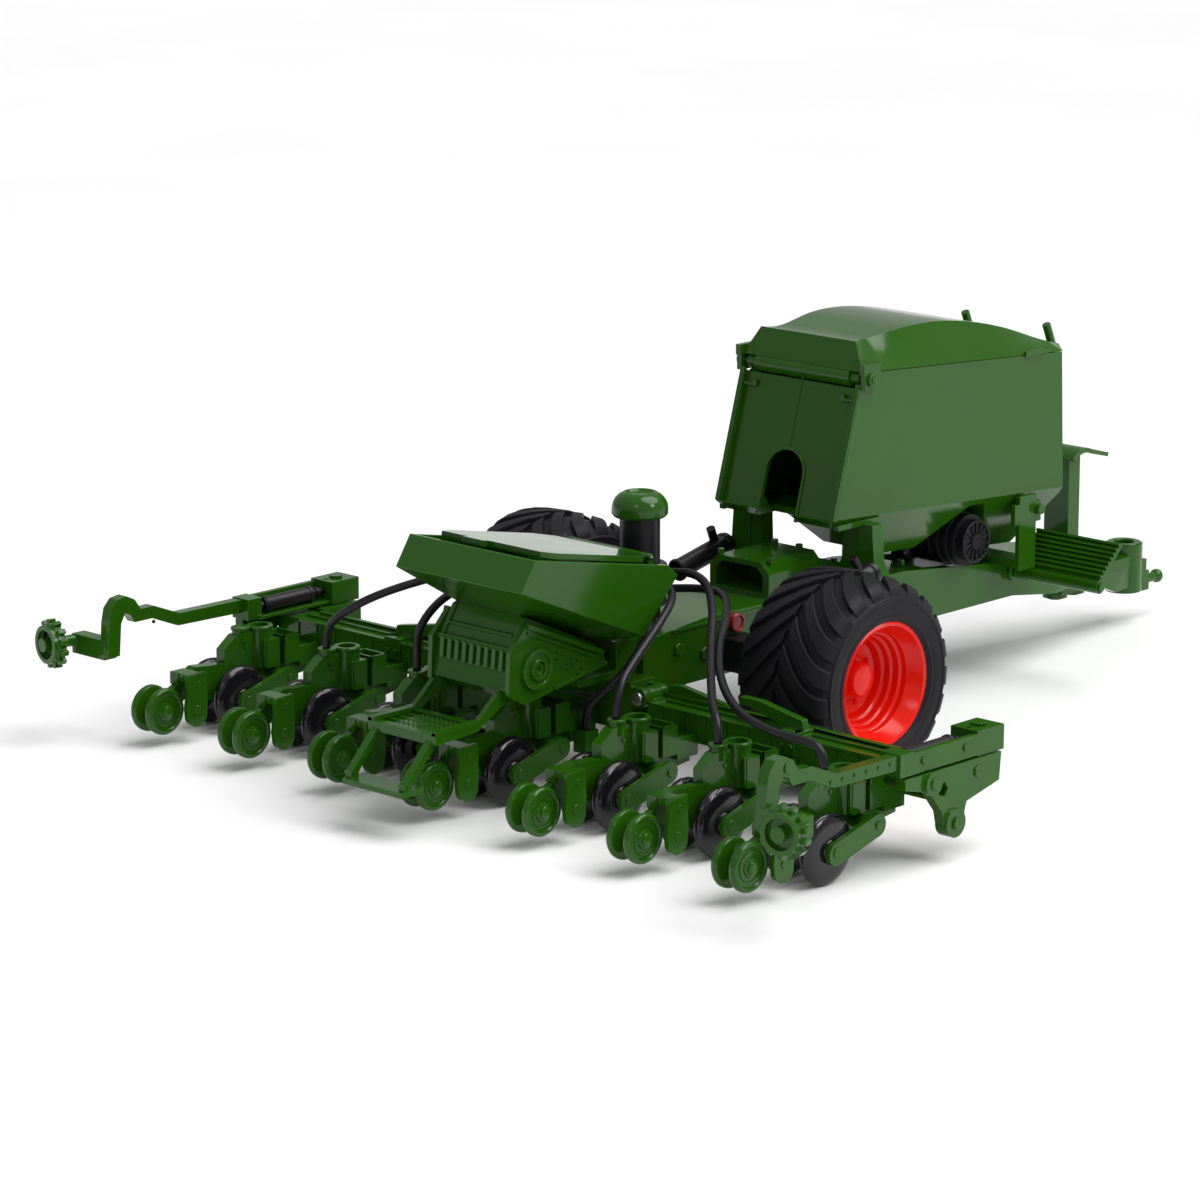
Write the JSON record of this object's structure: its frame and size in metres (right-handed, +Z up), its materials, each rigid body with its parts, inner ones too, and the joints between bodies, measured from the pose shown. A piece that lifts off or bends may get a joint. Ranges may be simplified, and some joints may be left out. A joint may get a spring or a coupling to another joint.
{
  "type": "corn planter",
  "caption": "Towed toy precision corn planter with folding row wings, seed tank, rear hopper, swinging markers and hoses.",
  "frame": {"origin": "on the ground, under the centre of the whole machine", "axes": "+X to the right-hand side, +Y forward to the hitch, +Z up"},
  "size_m": [0.3757, 0.4466, 0.1462],
  "materials": {
    "green": "glossy moulded green",
    "gauge_black": "glossy moulded black",
    "black": "satin moulded black",
    "tyre": "matt soft vinyl",
    "red": "glossy moulded red",
    "hose": "soft black vinyl tube",
    "steel": "plain drawn pin"
  },
  "bodies": {
    "chassis": {"drawbar_beam": "green", "toolbar_centre": "green", "wheel_axle": "black", "tank_stand": "green", "tank_cradle": "green", "tank_body": "green", "seed_fan": "black", "ladder_post": "green", "hitch_head": "green", "hopper_body": "green", "meter_box": "green", "distributor_tube": "black", "distributor_cap": "green", "rear_step": "green", "row_4_frame": "green", "hinge_pins": "steel", "hose_2": "hose", "hose_3": "hose", "hose_4": "hose", "hose_5": "hose", "hose_6": "hose", "hose_7": "hose"},
    "wing_left": {"wing_beam_left": "green", "wing_end_left": "green", "row_1_frame": "green", "row_2_frame": "green", "row_3_frame": "green"},
    "marker_left": {"marker_arm_left": "green", "marker_cylinder_left": "black"},
    "star_left": {"star_wheel_left": "green"},
    "road_wheel_left": {"tyre_left": "tyre", "rim_left": "red"},
    "wing_right": {"wing_beam_right": "green", "wing_end_right": "green", "row_5_frame": "green", "row_6_frame": "green", "row_7_frame": "green"},
    "marker_right": {"marker_arm_right": "green", "marker_cylinder_right": "black"},
    "star_right": {"star_wheel_right": "green"},
    "road_wheel_right": {"tyre_right": "tyre", "rim_right": "red"},
    "gauge_1": {"gauge_wheels_1": "gauge_black"},
    "press_1": {"press_wheels_1": "green"},
    "gauge_2": {"gauge_wheels_2": "gauge_black"},
    "press_2": {"press_wheels_2": "green"},
    "gauge_3": {"gauge_wheels_3": "gauge_black"},
    "press_3": {"press_wheels_3": "green"},
    "gauge_4": {"gauge_wheels_4": "gauge_black"},
    "press_4": {"press_wheels_4": "green"},
    "gauge_5": {"gauge_wheels_5": "gauge_black"},
    "press_5": {"press_wheels_5": "green"},
    "gauge_6": {"gauge_wheels_6": "gauge_black"},
    "press_6": {"press_wheels_6": "green"},
    "gauge_7": {"gauge_wheels_7": "gauge_black"},
    "press_7": {"press_wheels_7": "green"},
    "tank_cover": {"tank_lid": "green"},
    "hopper_cover": {"hopper_lid": "green"},
    "step": {"side_step": "green"},
    "drum": {"meter_drum": "green"}
  },
  "joints": [
    {"name": "fold_left", "type": "hinge", "parent": "chassis", "child": "wing_left", "pos_m": [-0.027, -0.1123, 0.033], "axis": [0, 1, 0], "range_deg": [0, 75], "deforming": ["hose_2", "hose_3"]},
    {"name": "fold_right", "type": "hinge", "parent": "chassis", "child": "wing_right", "pos_m": [0.027, -0.1123, 0.033], "axis": [0, -1, 0], "range_deg": [0, 75], "deforming": ["hose_5", "hose_6", "hose_7"]},
    {"name": "marker_swing_left", "type": "hinge", "parent": "wing_left", "child": "marker_left", "pos_m": [-0.1575, -0.0903, 0.038], "axis": [0, 0, -1], "range_deg": [0, 90]},
    {"name": "star_spin_left", "type": "hinge", "parent": "marker_left", "child": "star_left", "pos_m": [-0.1788, -0.215, 0.0349], "axis": [-0.1736, -0.9848, 0], "continuous": true},
    {"name": "road_wheel_spin_left", "type": "hinge", "parent": "chassis", "child": "road_wheel_left", "pos_m": [-0.071, -0.0593, 0.038], "axis": [1, 0, 0], "continuous": true},
    {"name": "marker_swing_right", "type": "hinge", "parent": "wing_right", "child": "marker_right", "pos_m": [0.1575, -0.0903, 0.038], "axis": [0, 0, 1], "range_deg": [0, 90]},
    {"name": "star_spin_right", "type": "hinge", "parent": "marker_right", "child": "star_right", "pos_m": [0.1788, -0.215, 0.0349], "axis": [0.1736, -0.9848, 0], "continuous": true},
    {"name": "road_wheel_spin_right", "type": "hinge", "parent": "chassis", "child": "road_wheel_right", "pos_m": [0.071, -0.0593, 0.038], "axis": [1, 0, 0], "continuous": true},
    {"name": "gauge_spin_1", "type": "hinge", "parent": "wing_left", "child": "gauge_1", "pos_m": [-0.1428, -0.1613, 0.0123], "axis": [1, 0, 0], "continuous": true},
    {"name": "press_spin_1", "type": "hinge", "parent": "wing_left", "child": "press_1", "pos_m": [-0.1428, -0.1947, 0.0127], "axis": [1, 0, 0], "continuous": true},
    {"name": "gauge_spin_2", "type": "hinge", "parent": "wing_left", "child": "gauge_2", "pos_m": [-0.0959, -0.1613, 0.0123], "axis": [1, 0, 0], "continuous": true},
    {"name": "press_spin_2", "type": "hinge", "parent": "wing_left", "child": "press_2", "pos_m": [-0.0959, -0.1947, 0.0127], "axis": [1, 0, 0], "continuous": true},
    {"name": "gauge_spin_3", "type": "hinge", "parent": "wing_left", "child": "gauge_3", "pos_m": [-0.049, -0.1613, 0.0123], "axis": [1, 0, 0], "continuous": true},
    {"name": "press_spin_3", "type": "hinge", "parent": "wing_left", "child": "press_3", "pos_m": [-0.049, -0.1947, 0.0127], "axis": [1, 0, 0], "continuous": true},
    {"name": "gauge_spin_4", "type": "hinge", "parent": "chassis", "child": "gauge_4", "pos_m": [0, -0.1639, 0.0123], "axis": [1, 0, 0], "continuous": true},
    {"name": "press_spin_4", "type": "hinge", "parent": "chassis", "child": "press_4", "pos_m": [0, -0.1973, 0.0127], "axis": [1, 0, 0], "continuous": true},
    {"name": "gauge_spin_5", "type": "hinge", "parent": "wing_right", "child": "gauge_5", "pos_m": [0.049, -0.1613, 0.0123], "axis": [1, 0, 0], "continuous": true},
    {"name": "press_spin_5", "type": "hinge", "parent": "wing_right", "child": "press_5", "pos_m": [0.049, -0.1947, 0.0127], "axis": [1, 0, 0], "continuous": true},
    {"name": "gauge_spin_6", "type": "hinge", "parent": "wing_right", "child": "gauge_6", "pos_m": [0.0959, -0.1613, 0.0123], "axis": [1, 0, 0], "continuous": true},
    {"name": "press_spin_6", "type": "hinge", "parent": "wing_right", "child": "press_6", "pos_m": [0.0959, -0.1947, 0.0127], "axis": [1, 0, 0], "continuous": true},
    {"name": "gauge_spin_7", "type": "hinge", "parent": "wing_right", "child": "gauge_7", "pos_m": [0.1428, -0.1613, 0.0123], "axis": [1, 0, 0], "continuous": true},
    {"name": "press_spin_7", "type": "hinge", "parent": "wing_right", "child": "press_7", "pos_m": [0.1428, -0.1947, 0.0127], "axis": [1, 0, 0], "continuous": true},
    {"name": "tank_lid_open", "type": "hinge", "parent": "chassis", "child": "tank_cover", "pos_m": [0, 0.0012, 0.131], "axis": [1, 0, 0], "range_deg": [0, 75]},
    {"name": "hopper_lid_open", "type": "hinge", "parent": "chassis", "child": "hopper_cover", "pos_m": [0, -0.1048, 0.0806], "axis": [-1, 0, 0], "range_deg": [0, 90]},
    {"name": "step_tilt", "type": "hinge", "parent": "chassis", "child": "step", "pos_m": [0.041, 0.1027, 0.0405], "axis": [1, 0, 0], "range_deg": [-35, 20]},
    {"name": "drum_spin", "type": "hinge", "parent": "chassis", "child": "drum", "pos_m": [0, -0.1633, 0.051], "axis": [1, 0, 0], "continuous": true}
  ]
}
